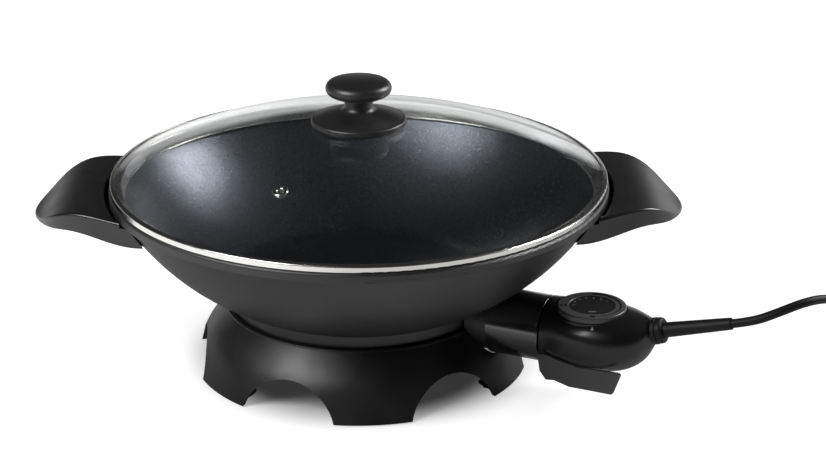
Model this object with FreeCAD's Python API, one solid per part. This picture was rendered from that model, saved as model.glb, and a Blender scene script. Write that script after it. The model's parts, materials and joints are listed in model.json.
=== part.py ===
import FreeCAD, Part
import math
import os

# Electric wok with a lift-off glass lid and a detachable thermostat plug.
# Millimetres.  +X runs along the two side handles, +Z is up, and the origin lies on the
# table under the middle of the pan.  The thermostat axis lies in plan at probe_angle;
# its pieces are built along +X and then turned to that angle.

# ---------------------------------------------------------------- driving dimensions
# pan
rim_radius = 181.0          # outside of the rim bead
rim_height = 139.0          # top of the rim above the table
rim_bead = 7.5              # height of the rim bead
rim_bead_round = 1.6
rim_crest_round = 2.0
rim_step = 4.0              # how far the bead stands out from the wall
bowl_radius = 182.0         # curvature of the outer wall, seen in section
pan_wall = 4.0
pan_floor = 6.0
floor_blend = 30.0          # radius between floor and wall, inside
foot_ring_radius = 95.0     # the cast ring under the bowl
foot_ring_width = 6.0
foot_ring_top = 55.5        # where the bowl starts
foot_ring_bottom = 44.5

# base
base_foot_radius = 123.5
base_bottom = 0.8           # the rubber feet stand this much lower
base_lip_radius = 99.5
base_lip_height = 47.5
shoulder_radius = 104.5
shoulder_height = 39.0
knee_radius = 113.8
knee_height = 26.0
shin_radius = 119.7
shin_height = 12.0
base_wall = 3.2
seat_clearance = 0.6        # foot ring to lip, all round
ledge_radius = 73.0
ledge_thick = 3.0
foot_count = 6
foot_turn = 33.85           # plan angle of the first foot
arch_radius = 38.2
arch_drop = 11.9            # the arch centre lies this far below the table
foot_web_thick = 3.0
foot_web_depth = 16.0
foot_half_angle = 12.4
pad_half_angle = 8.5
pad_outer = 116.0
pad_height = 5.0
pad_depth = 9.0
pad_stem_radius = 2.2
base_screw_circle = 80.0
base_screw_count = 3

# screws
screw_radius = 2.0
screw_head_radius = 3.9
screw_head_height = 2.6
screw_clearance = 0.3
boss_radius = 5.5

# side handles: plan half widths and heights, at distances out from the rim bead
handle_overhang = 54.5      # the tip stands out this far
handle_root_back = 33.0     # the ears end this far in
handle_root_half = 80.8
handle_flank_back = 5.0
handle_flank_half = 68.8
handle_bend_out = 23.0      # where the sides start to round in
handle_bend_half = 57.4
handle_cheek_back = 17.5    # from the tip
handle_cheek_half = 45.5
handle_nose_back = 7.5      # from the tip
handle_nose_half = 29.5
handle_root_top = 4.6       # tops and bottoms are measured down from the top of the rim
handle_flank_top = 4.0
handle_bend_top = 3.0
handle_cheek_top = 9.2
handle_nose_top = 16.4
handle_tip_top = 20.4
handle_root_bottom = 21.2
handle_ear_bottom = 23.1
handle_flank_bottom = 21.2
handle_bend_bottom = 16.5
handle_cheek_bottom = 19.1
handle_nose_bottom = 21.8
handle_tip_bottom = 24.8
handle_edge = 1.8           # rounding of the long edges
groove_gap = 3.4            # inner edge of the handle's top to the rim bead
groove_half = 66.0
groove_drop = 16.0          # bottom of the groove beside the rim, under the top of the rim
handle_fit = 0.3            # handle to pan lugs
handle_wall_gap = 1.4       # open joint between the flanks and the pan wall
handle_rebate = 6.0         # how deep that joint runs in from the flanks
handle_touch = 0.1          # handle to pan wall behind the joint
lug_place = 57.0
lug_width = 13.0
lug_thick = 7.0
lug_drop = 13.5             # middle of the cast lug, under the top of the rim
lug_out = 8.0               # the lug stands out from the rim bead
handle_screw_back = 1.0     # its screw, in from the rim bead
handle_screw_skin = 3.0     # plastic under the lug

# lid
glass_rise = 43.4           # top of the glass over the rim
glass_edge_rise = 4.2
glass_thick = 3.6
glass_inset = 2.4           # edge of the glass, in from the rim bead
lid_rim_inset = 1.0
lid_rim_fold = 3.0          # width of the rolled lip on the glass
lid_rim_sheet = 0.7
lid_skirt_inset = 10.0
lid_skirt_depth = 8.0
lid_skirt_lean = 1.2
glass_hole_radius = 4.6
vent_place = (-53.9, -100.0)
vent_flange_radius = 5.6
vent_tube_radius = 3.9
vent_hole_radius = 2.3
vent_flange_thick = 1.0

# knob
gasket_radius = 33.0
knob_flange_radius = 34.3
knob_flange_thick = 4.3
knob_rise = 4.6            # the flange's top climbs this much towards the neck
knob_neck_radius = 10.3
knob_cap_radius = 23.9
knob_cap_clear = 19.1       # gap for the fingers, from the glass to the cap
knob_cap_belly = 7.1        # widest height of the cap, over its underside
knob_cap_height = 13.9
knob_cap_edge = 5.4         # rounding from the widest line up to the crown
knob_bore_radius = 2.6
knob_screw_radius = 2.5
knob_washer_radius = 13.0
knob_washer_thick = 1.2

# socket and thermostat plug, along the probe axis
probe_angle = -26.0
axis_height = 48.5
guard_radius = 24.1
guard_wall = 2.4
guard_start = 110.0
guard_end = 150.0
seam = 1.0
terminal_spread = 9.5       # terminal pins, left and right of the probe
terminal_radius = 2.0
terminal_end = 140.0
earth_drop = 11.5
element_radius = 64.0       # plan radius of the heating loop
element_tube = 4.0
element_bend = 12.0
element_pad = 2.5           # cast metal beside the tube
nose_radius = 20.8
nose_neck_radius = 16.6
nose_start = 122.0
sleeve_wall = 1.1
running_gap = 0.08
probe_radius = 2.75
probe_tip = 82.0
well_wall = 3.4
body_wall = 2.4
body_split = 46.0
outlet_place = 228.4        # end of the plug body, where the cord leaves
outlet_height = 60.6
outlet_rise = 15.8          # degrees
dial_place = 182.0
dial_radius = 24.6
dial_seat_height = 67.8
dial_height = 4.4
dial_disc_radius = 16.2
dial_disc_thick = 1.0
dial_shaft_radius = 3.0
dial_gap = 0.3

# release lever
lever_pivot = (157.6, 35.4)
lever_pin_radius = 2.0
lever_boss_start = 19.6
lever_thick = 2.2
lever_skin = 0.7            # left outside each blind pivot hole
lever_half = 27.4           # outside of each cheek, from the probe axis
lever_bottom = 19.0
lever_gap = 0.4             # cheek to plug body
relief_top = (44.0, 39.2)   # top edge of the body's side recess, at the seam and at the far end

# cord
cord_radius = 3.2
collar_radius = 9.6
collar_length = 8.4
relief_root_radius = 5.45
relief_end_radius = 4.3
relief_length = 49.6
coil_centre = (412.0, 22.0)
coil_mean_radius = 36.0
plug_face_radius = 18.6
plug_length = 36.0
plug_shoulder = 9.0         # width of the full band behind the face
plug_neck_radius = 6.0
pin_radius = 2.4
pin_length = 19.0
pin_spread = 19.0

X, Y, Z = FreeCAD.Vector(1, 0, 0), FreeCAD.Vector(0, 1, 0), FreeCAD.Vector(0, 0, 1)
ORIGIN = FreeCAD.Vector(0, 0, 0)
vec = FreeCAD.Vector


# ---------------------------------------------------------------- helpers
def polar(radius, degrees, height=0.0):
    """A point at a plan radius and plan angle."""
    turn = math.radians(degrees)
    return vec(radius * math.cos(turn), radius * math.sin(turn), height)


def section(start, *steps):
    """Closed wire in the XZ plane: (r, z) is a line, ((r, z), (r, z)) an arc, a list a spline."""
    edges, here = [], start
    for step in steps + (start,):
        a = vec(here[0], 0, here[1])
        if isinstance(step, list):
            curve = Part.BSplineCurve()
            curve.interpolate([a] + [vec(r, 0, z) for r, z in step])
            edges.append(curve.toShape())
            here = step[-1]
            continue
        is_arc = isinstance(step[0], tuple)
        end = step[1] if is_arc else step
        b = vec(end[0], 0, end[1])
        if is_arc:
            edges.append(Part.Arc(a, vec(step[0][0], 0, step[0][1]), b).toShape())
        elif (a - b).Length > 1e-6:
            edges.append(Part.makeLine(a, b))
        here = end
    return Part.Wire(edges)


def rounded_wire(corners, to_point):
    """Closed wire through corners (a, b, radius); to_point turns (a, b) into a vector."""
    count, edges, joins = len(corners), [], []
    for i, (a, b, radius) in enumerate(corners):
        here = to_point(a, b)
        before = to_point(*corners[i - 1][:2]) - here
        after = to_point(*corners[(i + 1) % count][:2]) - here
        if radius <= 0:
            joins.append((here, here, here))
            continue
        u, v = vec(before).normalize(), vec(after).normalize()
        half = 0.5 * u.getAngle(v)
        reach = radius / math.tan(half)
        middle = vec(u + v).normalize()
        joins.append((here + u * reach, here + middle * (radius / math.sin(half) - radius),
                      here + v * reach))
    for i, (first, mid, last) in enumerate(joins):
        if (first - last).Length > 1e-6:
            edges.append(Part.Arc(first, mid, last).toShape())
        following = joins[(i + 1) % count][0]
        if (last - following).Length > 1e-6:
            edges.append(Part.makeLine(last, following))
    return Part.Wire(edges)


def turned(wire, start=0.0, sweep=360.0):
    """Solid of revolution about Z of a wire in the XZ plane."""
    face = Part.Face(wire)
    face.rotate(ORIGIN, Z, start)
    return face.revolve(ORIGIN, Z, sweep)


def turned_corners(*corners):
    """Solid of revolution about Z from rounded corners (r, z, radius)."""
    return turned(rounded_wire(corners, lambda r, z: vec(r, 0, z)))


def cylinder(radius, start, end):
    start, end = vec(start), vec(end)
    return Part.makeCylinder(radius, (end - start).Length, start, end - start)


def cone(radius_start, radius_end, start, end):
    return Part.makeCone(radius_start, radius_end, (end - start).Length, start, end - start)


def block(x0, x1, y0, y1, z0, z1):
    return Part.makeBox(x1 - x0, y1 - y0, z1 - z0, vec(x0, y0, z0))


def joined(shapes):
    """One clean solid from shapes that touch."""
    whole = shapes[0]
    if len(shapes) > 1:
        whole = whole.fuse(list(shapes[1:]))
    return whole.removeSplitter()


def spun(shape, degrees):
    copy = shape.copy()
    copy.rotate(ORIGIN, Z, degrees)
    return copy


def pattern(shape, count, first=0.0):
    """Copies of a shape evenly round Z."""
    return [spun(shape, first + 360.0 * i / count) for i in range(count)]


def to_probe(shape):
    """Turn a shape that was built along +X to the thermostat axis."""
    return spun(shape, probe_angle)


def both_sides(shape):
    """A shape and its mirror image across the plane of X and Z."""
    return [shape, shape.mirror(ORIGIN, Y)]


def on_arc(centre, radius, height):
    """Radius at which a section arc passes a height, on its outer side."""
    return centre[0] + math.sqrt(radius ** 2 - (height - centre[1]) ** 2)


def arc_centre(p, q, radius):
    """Centre of the arc through p and q that lies above and inside the chord."""
    mx, mz = (p[0] + q[0]) / 2, (p[1] + q[1]) / 2
    dx, dz = q[0] - p[0], q[1] - p[1]
    half = math.hypot(dx, dz) / 2
    away = math.sqrt(radius ** 2 - half ** 2)
    return (mx - dz / (2 * half) * away, mz + dx / (2 * half) * away)


def arc_middle(centre, radius, p, q):
    """Point half way along the arc from p to q."""
    a = math.atan2(p[1] - centre[1], p[0] - centre[0])
    b = math.atan2(q[1] - centre[1], q[0] - centre[0])
    return (centre[0] + radius * math.cos((a + b) / 2), centre[1] + radius * math.sin((a + b) / 2))


def pan_head_screw(seat, length):
    """Screw pointing up +Z: its head lies under seat."""
    head = Part.makeCylinder(screw_head_radius, screw_head_height, seat - Z * screw_head_height)
    head = head.makeFillet(1.2, [e for e in head.Edges if abs(e.BoundBox.ZMax - seat.z + screw_head_height) < 1e-6])
    slot = block(-0.5, 0.5, -2.6, 2.6, 0, 1.2)
    cross = slot.fuse(spun(slot, 90))
    cross.translate(seat - Z * (screw_head_height + 0.2))
    return head.cut(cross).fuse(Part.makeCylinder(screw_radius, length, seat)).removeSplitter()


# ---------------------------------------------------------------- pan and heating element
handle_root = rim_radius - handle_root_back
handle_bend = rim_radius + handle_bend_out
handle_reach = rim_radius + handle_overhang
handle_nose = handle_reach - handle_nose_back
lug_height = rim_height - lug_drop
lug_reach = rim_radius + lug_out
handle_screw_reach = rim_radius - handle_screw_back
glass_apex = rim_height + glass_rise
glass_edge_top = rim_height + glass_edge_rise
glass_radius = rim_radius - glass_inset
lid_rim_radius = rim_radius - lid_rim_inset
lid_rim_lip = lid_rim_radius - lid_rim_fold
lid_skirt_radius = rim_radius - lid_skirt_inset
knob_cap_bottom = glass_apex + knob_cap_clear
knob_cap_widest = knob_cap_bottom + knob_cap_belly
knob_cap_top = knob_cap_bottom + knob_cap_height
floor_under = foot_ring_top - 1.5
floor_top = floor_under + pan_floor
wall_top = (rim_radius - rim_step, rim_height - rim_bead)
wall_foot = (foot_ring_radius, foot_ring_top)
bowl_centre = arc_centre(wall_foot, wall_top, bowl_radius)
foot_ring_inner = foot_ring_radius - foot_ring_width


def pan_envelope(extra=0.0):
    """Outer form of bowl and rim bead, grown by extra, filled inside."""
    low = (on_arc(bowl_centre, bowl_radius + extra, wall_foot[1]), wall_foot[1])
    high = (on_arc(bowl_centre, bowl_radius + extra, wall_top[1] - extra), wall_top[1] - extra)
    middle = arc_middle(bowl_centre, bowl_radius + extra, low, high)
    return turned(section((0, low[1]), low, (middle, high), (rim_radius + extra, high[1]),
                          (rim_radius + extra, rim_height + 1), (0, rim_height + 1)))


def pan_bowl_shell():
    inner_radius = bowl_radius - pan_wall
    inner_top = (on_arc(bowl_centre, inner_radius, rim_height), rim_height)
    inner_foot = (on_arc(bowl_centre, inner_radius, floor_top), floor_top)
    bead, crest = rim_bead_round, rim_crest_round
    bowl = turned(section(
        (0, floor_under), (foot_ring_inner, floor_under), (foot_ring_inner, foot_ring_bottom),
        (foot_ring_radius, foot_ring_bottom), wall_foot,
        (arc_middle(bowl_centre, bowl_radius, wall_foot, wall_top), wall_top),
        (rim_radius - bead, wall_top[1]),
        ((rim_radius - 0.3 * bead, wall_top[1] + 0.3 * bead), (rim_radius, wall_top[1] + bead)),
        (rim_radius, rim_height - crest),
        ((rim_radius - 0.293 * crest, rim_height - 0.293 * crest), (rim_radius - crest, rim_height)), inner_top,
        (arc_middle(bowl_centre, inner_radius, inner_top, inner_foot), inner_foot),
        (0, floor_top)))
    corner = [e for e in bowl.Edges if abs(e.BoundBox.ZMax - floor_top) < 1e-3
              and abs(e.BoundBox.ZMin - floor_top) < 1e-3 and e.BoundBox.XMax > inner_foot[0] - 1]
    return bowl.makeFillet(floor_blend, corner)


def handle_lugs():
    """Two cast tabs on the +X side that a handle is screwed to."""
    tab = block(handle_root, lug_reach, lug_place - lug_width / 2, lug_place + lug_width / 2,
                lug_height - lug_thick / 2, lug_height + lug_thick / 2)
    tab = tab.cut(pan_envelope(-pan_wall / 2))
    hole = cylinder(screw_radius, vec(handle_screw_reach, lug_place, lug_height - lug_thick),
                    vec(handle_screw_reach, lug_place, lug_height + lug_thick))
    return both_sides(tab.cut(hole))


def element_path():
    """Centre line of the heating tube: a leg, a bend, the loop, a bend and a leg."""
    bend_centre_x = math.sqrt((element_radius + element_bend) ** 2 - (terminal_spread + element_bend) ** 2)
    leave = math.degrees(math.atan2(terminal_spread + element_bend, bend_centre_x))
    h = axis_height
    points = []
    for side in (1, -1):
        centre = vec(bend_centre_x, side * (terminal_spread + element_bend), h)
        outer = vec(guard_start + guard_wall, side * terminal_spread, h)
        straight_end = vec(bend_centre_x, side * terminal_spread, h)
        turn_angle = math.radians((90 + (90 - leave)) / 2 + leave)
        middle = centre + vec(-math.sin(math.radians((90 - leave) / 2)),
                              -side * math.cos(math.radians((90 - leave) / 2)), 0) * element_bend
        on_loop = polar(element_radius, side * leave, h)
        points.append((outer, straight_end, middle, on_loop))
    first, second = points
    return Part.Wire([Part.makeLine(first[0], first[1]), Part.Arc(*first[1:]).toShape(),
                      Part.Arc(first[3], vec(-element_radius, 0, h), second[3]).toShape(),
                      Part.Arc(second[3], second[2], second[1]).toShape(),
                      Part.makeLine(second[1], second[0])])


def element_solid(radius):
    path = element_path()
    start = path.Vertexes[0].Point
    ring = Part.Wire(Part.makeCircle(radius, vec(guard_start + guard_wall, terminal_spread, axis_height), X))
    return path.makePipeShell([ring], True, True)


def make_pan_bowl():
    bowl = pan_bowl_shell()
    lugs = handle_lugs()
    lugs += [lug.mirror(ORIGIN, X) for lug in lugs]
    bosses = pattern(cylinder(boss_radius, vec(base_screw_circle, 0, foot_ring_bottom),
                              vec(base_screw_circle, 0, floor_under + 1)), base_screw_count, foot_turn)
    half = element_tube + element_pad
    pad = turned(section((element_radius - half, axis_height), (element_radius + half, axis_height),
                         (element_radius + half, floor_under + 1), (element_radius - half, floor_under + 1)))
    well_half = probe_radius + well_wall
    gap_half = terminal_spread + element_tube + 3.0
    notch = block(foot_ring_inner - 2, foot_ring_radius + 1, -gap_half, gap_half, foot_ring_bottom - 1,
                  floor_under)
    well = block(probe_tip - 6, guard_start - 1, -well_half, well_half, axis_height - well_half, floor_under + 1)
    flange = cylinder(guard_radius, vec(foot_ring_radius - 1, 0, axis_height), vec(guard_start, 0, axis_height))
    flange = flange.common(block(0, guard_start, -guard_radius, guard_radius,
                                 axis_height - earth_drop - 4.5, rim_height))
    flange = to_probe(flange).cut(pan_envelope(-pan_wall / 2))
    pan = joined([bowl.cut(to_probe(notch)), pad, to_probe(well), flange] + bosses + lugs)
    cuts = [to_probe(cylinder(probe_radius + running_gap, vec(probe_tip - 1, 0, axis_height),
                              vec(guard_start + 1, 0, axis_height))),
            to_probe(element_solid(element_tube + running_gap)),
            to_probe(cylinder(terminal_radius + running_gap, vec(guard_start - 9, 0, axis_height - earth_drop),
                              vec(guard_start + 1, 0, axis_height - earth_drop)))]
    seat = guard_screw_seat()
    cuts += [to_probe(s) for s in both_sides(cylinder(screw_radius, seat - X * 11, seat))]
    cuts += pattern(cylinder(screw_radius, vec(base_screw_circle, 0, foot_ring_bottom - 1),
                             vec(base_screw_circle, 0, floor_under - 1)), base_screw_count, foot_turn)
    return pan.cut(cuts)


def make_terminal_pins():
    pin = cylinder(terminal_radius, vec(guard_start + guard_wall, terminal_spread, axis_height),
                   vec(terminal_end, terminal_spread, axis_height))
    pin = pin.makeChamfer(0.6, [e for e in pin.Edges if abs(e.BoundBox.XMin - terminal_end) < 1e-6])
    return Part.makeCompound([to_probe(p) for p in both_sides(pin)])


def make_earth_pin():
    z = axis_height - earth_drop
    pin = cylinder(terminal_radius, vec(guard_start - 9, 0, z), vec(terminal_end, 0, z))
    return to_probe(pin.makeChamfer(0.6, [e for e in pin.Edges if abs(e.BoundBox.XMin - terminal_end) < 1e-6]))


# ---------------------------------------------------------------- base
def make_base_skirt():
    lip_inner = foot_ring_radius + seat_clearance
    seat = foot_ring_bottom
    under = seat - ledge_thick
    inner_top = on_base_outside(under) - base_wall - 1.0
    profile = section(
        (ledge_radius, seat), (lip_inner, seat), (lip_inner, base_lip_height - 0.8),
        (lip_inner + 0.8, base_lip_height), (base_lip_radius - 1.6, base_lip_height),
        ((base_lip_radius - 0.5, base_lip_height - 0.5), (base_lip_radius, base_lip_height - 1.6)),
        [(shoulder_radius, shoulder_height), (knee_radius, knee_height),
         (shin_radius, shin_height), (base_foot_radius, base_bottom)],
        (base_foot_radius - base_wall, base_bottom),
        [(shin_radius - base_wall, shin_height), (knee_radius - base_wall - 0.5, knee_height),
         (inner_top, under)],
        (ledge_radius, under))
    skirt = turned(profile)
    web_inner = base_foot_radius - foot_web_depth
    web = turned(section((web_inner, pad_height), (base_foot_radius - base_wall, pad_height),
                         (shin_radius - base_wall / 2, pad_height + foot_web_thick),
                         (web_inner, pad_height + foot_web_thick)), -foot_half_angle, 2 * foot_half_angle)
    skirt = joined([skirt] + pattern(web, foot_count, foot_turn))
    reach = base_foot_radius + 10
    arch = cylinder(arch_radius, vec(ledge_radius - 20, 0, -arch_drop), vec(reach, 0, -arch_drop))
    cuts = pattern(arch, foot_count, foot_turn + 180.0 / foot_count)
    cuts.append(to_probe(cylinder(guard_radius + 2 * handle_fit, vec(ledge_radius - 10, 0, axis_height),
                                  vec(reach, 0, axis_height))))
    cuts += pattern(cylinder(screw_radius + screw_clearance, vec(base_screw_circle, 0, under - 1),
                             vec(base_screw_circle, 0, seat + 1)), base_screw_count, foot_turn)
    stem = polar(pad_outer - pad_depth / 2, 0)
    cuts += pattern(cylinder(pad_stem_radius, stem + Z * (pad_height - 1),
                             stem + Z * (pad_height + foot_web_thick + 1)), foot_count, foot_turn)
    return skirt.cut(cuts)


def on_base_outside(height):
    """Radius of the skirt between lip and shoulder, close enough for the inside wall."""
    share = (height - shoulder_height) / (base_lip_height - shoulder_height)
    return shoulder_radius + share * (base_lip_radius - shoulder_radius)


def make_rubber_feet():
    pad = turned(rounded_wire([(pad_outer - pad_depth, 0, 1.0), (pad_outer, 0, 1.0), (pad_outer, pad_height, 0),
                               (pad_outer - pad_depth, pad_height, 0)], lambda r, z: vec(r, 0, z)),
                 -pad_half_angle, 2 * pad_half_angle)
    middle = polar(pad_outer - pad_depth / 2, 0)
    stem = cylinder(pad_stem_radius, middle + Z * (pad_height - 1), middle + Z * (pad_height + foot_web_thick))
    head = Part.makeCylinder(pad_stem_radius + 0.8, 1.2, middle + Z * (pad_height + foot_web_thick))
    return Part.makeCompound(pattern(joined([pad, stem, head]), foot_count, foot_turn))


def make_base_screws():
    seat = vec(base_screw_circle, 0, foot_ring_bottom - ledge_thick)
    return Part.makeCompound(pattern(pan_head_screw(seat, ledge_thick + 7.0), base_screw_count, foot_turn))


# ---------------------------------------------------------------- handles
def handle_outline(inset=0.0):
    """Plan outline of the +X handle: one smooth curve from ear to ear, its sides drawn in by inset."""
    half = [(handle_root, handle_root_half), (rim_radius - handle_flank_back, handle_flank_half),
            (handle_bend, handle_bend_half), (handle_reach - handle_cheek_back, handle_cheek_half),
            (handle_nose, handle_nose_half)]
    half = [(x, y - inset) for x, y in half]
    points = half + [(handle_reach, 0)] + [(x, -y) for x, y in reversed(half)]
    curve = Part.BSplineCurve()
    curve.interpolate([vec(x, y, 0) for x, y in points])
    return Part.Wire([curve.toShape(), Part.makeLine(curve.EndPoint, curve.StartPoint)])


def handle_side_view():
    """Side view of the +X handle: flat back, raised bend and drooping nose."""
    flank, cheek, past = rim_radius - handle_flank_back, handle_reach - handle_cheek_back, handle_reach + 1
    ear = (handle_root + flank) / 2
    top = [(handle_root, handle_root_top), (flank, handle_flank_top), (handle_bend, handle_bend_top),
           (cheek, handle_cheek_top), (handle_nose, handle_nose_top), (past, handle_tip_top)]
    bottom = [(past, handle_tip_bottom), (handle_nose, handle_nose_bottom), (cheek, handle_cheek_bottom),
              (handle_bend, handle_bend_bottom), (flank, handle_flank_bottom), (ear, handle_ear_bottom),
              (handle_root, handle_root_bottom)]
    top, bottom = ([(x, rim_height - drop) for x, drop in line] for line in (top, bottom))
    return section(bottom[-1], top[0], top[1:], bottom[0], bottom[1:])


def make_handle():
    plan = Part.Face(handle_outline()).extrude(Z * (2 * rim_height))
    side = Part.Face(handle_side_view())
    side.translate(-Y * 2 * handle_root_half)
    solid = plan.common(side.extrude(Y * 4 * handle_root_half))
    long_edges = [e for e in solid.Edges if e.BoundBox.XMax > handle_root + 1
                  and e.BoundBox.XMax - e.BoundBox.XMin > 1]
    solid = solid.makeFillet(handle_edge, long_edges)
    groove = cylinder(rim_radius + groove_gap, ORIGIN, Z * 2 * rim_height).common(
        block(0, handle_reach, -groove_half, groove_half, rim_height - groove_drop, 2 * rim_height))
    core = Part.Face(handle_outline(handle_rebate)).extrude(Z * (2 * rim_height))
    cuts = [pan_envelope(handle_touch), pan_envelope(handle_wall_gap).cut(core), groove]
    fit = handle_fit
    pocket = block(handle_root, lug_reach + fit, lug_place - lug_width / 2 - fit, lug_place + lug_width / 2 + fit,
                   lug_height - lug_thick / 2, lug_height + lug_thick / 2 + fit)
    seat = vec(handle_screw_reach, lug_place, lug_height - lug_thick / 2 - handle_screw_skin)
    hole = cylinder(screw_radius + screw_clearance, seat - Z, seat + Z * (handle_screw_skin + 1))
    recess = cylinder(screw_head_radius + 0.6, seat - Z * 20, seat)
    cuts += both_sides(pocket) + both_sides(hole) + both_sides(recess)
    return solid.cut(cuts)


def make_handle_screws():
    seat = vec(handle_screw_reach, lug_place, lug_height - lug_thick / 2 - handle_screw_skin)
    right = both_sides(pan_head_screw(seat, handle_screw_skin + lug_thick - 1))
    return Part.makeCompound(right + [s.mirror(ORIGIN, X) for s in right])


# ---------------------------------------------------------------- lid
def glass_sphere_radius():
    rise = glass_apex - glass_edge_top
    return (glass_radius ** 2 + rise ** 2) / (2 * rise)


def glass_top_at(radius):
    ball = glass_sphere_radius()
    return glass_apex - ball + math.sqrt(ball ** 2 - radius ** 2)


def glass_under_at(radius):
    ball = glass_sphere_radius() - glass_thick
    return glass_apex - glass_thick - ball + math.sqrt(ball ** 2 - radius ** 2)


def make_lid_glass():
    low, high, hole = glass_under_at, glass_top_at, glass_hole_radius
    middle = glass_radius / 2
    glass = turned(section((hole, low(hole)), ((middle, low(middle)), (glass_radius, low(glass_radius))),
                           (glass_radius, high(glass_radius)), ((middle, high(middle)), (hole, high(hole)))))
    below = Part.makeCylinder(rim_radius, 10, vec(0, 0, lid_seat + lid_rim_sheet - 9.95))
    hole = at_vent(Part.makeCylinder(vent_tube_radius + 0.1, 30, vec(0, 0, -15)))
    return glass.cut([below, hole])


lid_seat = rim_height       # underside of the lid's rim, on the pan


def make_lid_rim():
    """Folded steel channel round the glass, with the skirt that centres the lid in the pan."""
    sheet, under = lid_rim_sheet, lid_seat + lid_rim_sheet
    lip_top = glass_top_at(lid_rim_lip) + sheet
    edge_top = glass_top_at(glass_radius) + sheet
    skirt_end = lid_seat - lid_skirt_depth
    lean = lid_skirt_radius - lid_skirt_lean
    return turned(section(
        (lid_skirt_radius + sheet, lid_seat), (lid_rim_radius - 1.0, lid_seat),
        ((lid_rim_radius - 0.3, lid_seat + 0.3), (lid_rim_radius, lid_seat + 1.0)),
        (lid_rim_radius, edge_top - 1.0),
        ((lid_rim_radius - 0.3, edge_top - 0.2), (lid_rim_radius - 1.0, edge_top + 0.1)),
        (lid_rim_lip, lip_top), (lid_rim_lip, lip_top - sheet + 0.05),
        (glass_radius + 0.1, edge_top - sheet + 0.05), (glass_radius + 0.1, under),
        (lid_skirt_radius, under), (lean, skirt_end + 1.2),
        ((lean - 0.9, skirt_end + 0.6), (lean, skirt_end)),
        ((lean + 0.9, skirt_end + 0.5), (lean + sheet, skirt_end + 1.6))))


def at_vent(shape):
    """Tilt a shape built about Z to the glass, and put its origin on the glass at the vent."""
    x, y = vent_place
    radius = math.hypot(x, y)
    copy = shape.copy()
    copy.rotate(ORIGIN, vec(-y, x, 0), math.degrees(math.asin(radius / glass_sphere_radius())))
    copy.translate(vec(x, y, glass_top_at(radius)))
    return copy


def make_vent_eyelet():
    """Steel eyelet, tilted with the glass: a flange on top, a tube, and a rolled flange under it."""
    top, thick = 0.15, vent_flange_thick
    bottom = -glass_thick - 0.15
    eyelet = turned(section(
        (vent_hole_radius, top + 0.35 * thick), ((vent_hole_radius + 0.7, top + thick), (vent_hole_radius + 1.6, top + thick)),
        (vent_flange_radius - 0.8, top + thick), ((vent_flange_radius - 0.1, top + 0.6 * thick), (vent_flange_radius, top)),
        (vent_tube_radius, top), (vent_tube_radius, bottom), (vent_flange_radius - 1.0, bottom),
        (vent_flange_radius - 1.0, bottom - 0.6 * thick), (vent_hole_radius, bottom - 0.6 * thick)))
    return at_vent(eyelet)


def make_knob_gasket():
    inner = glass_hole_radius
    low, high = glass_top_at(gasket_radius) + 0.05, glass_top_at(inner) + 0.05
    return turned(section((inner, high), ((gasket_radius / 2, glass_top_at(gasket_radius / 2) + 0.05), (gasket_radius, low)),
                          (gasket_radius, high + 0.9), (inner, high + 0.9)))


def make_knob_base():
    """Wide heat flange with a concave cone that rises to the neck."""
    seat = glass_apex + 0.95
    edge = seat - 1.2
    r, t = knob_flange_radius, knob_flange_thick
    shoulder = edge + t + knob_rise
    inner = (knob_neck_radius + 4.4, shoulder + 0.7)
    middle = (r - 2.0 + inner[0]) / 2
    return turned(section(
        (knob_bore_radius, seat), (gasket_radius + 0.3, seat), (gasket_radius + 0.3, edge), (r - 0.8, edge),
        ((r - 0.2, edge + 0.3), (r, edge + 1.2)), (r, edge + t - 1.4),
        ((r - 0.6, edge + t - 0.35), (r - 2.0, edge + t)), ((middle, edge + t + 0.7 * knob_rise), inner),
        ((knob_neck_radius + 1.4, shoulder + 2.0), (knob_neck_radius, shoulder + 5.2)),
        (knob_neck_radius, knob_cap_bottom + 1.5), (knob_bore_radius, knob_cap_bottom + 1.5)))


def make_knob_cap():
    """Mushroom cap; its socket takes the neck of the base."""
    r, low, wide, top = knob_cap_radius, knob_cap_bottom, knob_cap_widest, knob_cap_top
    neck = knob_neck_radius + 0.15
    edge, rise = knob_cap_edge, top - wide
    ball = (r ** 2 - 2 * r * edge + rise ** 2) / (2 * (rise - edge))
    lean = math.atan2(r - edge, ball - rise)

    def on_edge(angle):
        return r - edge + edge * math.sin(angle), wide + edge * math.cos(angle)

    def on_crown(angle):
        return ball * math.sin(angle), top - ball + ball * math.cos(angle)

    return turned(section(
        (0, low + 9.0), (knob_screw_radius, low + 9.0), (knob_screw_radius, low + 1.55),
        (neck, low + 1.55), (neck, low), (r * 0.62, low + 0.4),
        [(r * 0.87, low + 2.6), (r * 0.965, low + 4.6), (r * 0.995, wide - 0.9), (r, wide)],
        (on_edge((lean + math.pi / 2) / 2), on_edge(lean)), (on_crown(lean / 2), (0, top))))


def make_knob_screw():
    seat = glass_under_at(0) - knob_washer_thick
    screw = Part.makeCylinder(knob_screw_radius, knob_cap_bottom + 8.0 - seat, vec(0, 0, seat))
    head = Part.makeCylinder(5.0, 3.2, vec(0, 0, seat - 3.2))
    slot = block(-0.6, 0.6, -6, 6, seat - 3.4, seat - 1.8)
    return joined([screw, head]).cut(slot)


def make_knob_washer():
    top = glass_under_at(knob_washer_radius)
    ring = tube_ring(knob_screw_radius + 0.2, knob_washer_radius, glass_under_at(0) - knob_washer_thick,
                     min(top, glass_under_at(0)) - 0.05)
    return ring


def tube_ring(inner, outer, low, high):
    return Part.makeCylinder(outer, high - low, vec(0, 0, low)).cut(
        Part.makeCylinder(inner, high - low, vec(0, 0, low)))


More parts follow.
